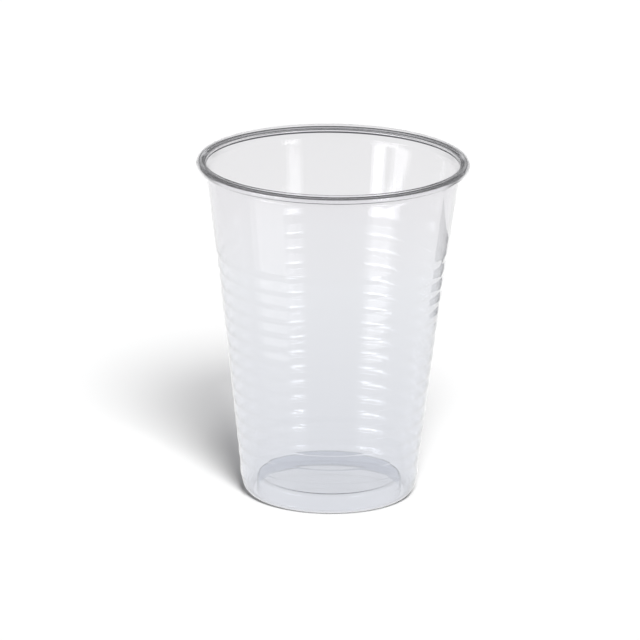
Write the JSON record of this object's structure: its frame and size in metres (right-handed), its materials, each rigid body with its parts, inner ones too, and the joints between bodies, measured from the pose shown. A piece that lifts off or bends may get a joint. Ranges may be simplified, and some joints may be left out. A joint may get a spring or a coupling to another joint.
{
  "type": "plastic disposable cup",
  "caption": "Clear tapered drinking cup formed from one thin plastic sheet, with a rolled lip, ringed wall, rounded heel and raised floor",
  "frame": {"origin": "centre of the foot ring, on the plane the cup stands on", "axes": "+Z along the cup's axis, up and out of the mouth; +X and +Y are any two directions across it at right angles"},
  "size_m": [0.0702, 0.0702, 0.0892],
  "materials": {
    "clear_plastic": "clear and glossy polypropylene with a slight milky haze"
  },
  "bodies": {
    "root": {"cup": "clear_plastic"}
  },
  "joints": []
}
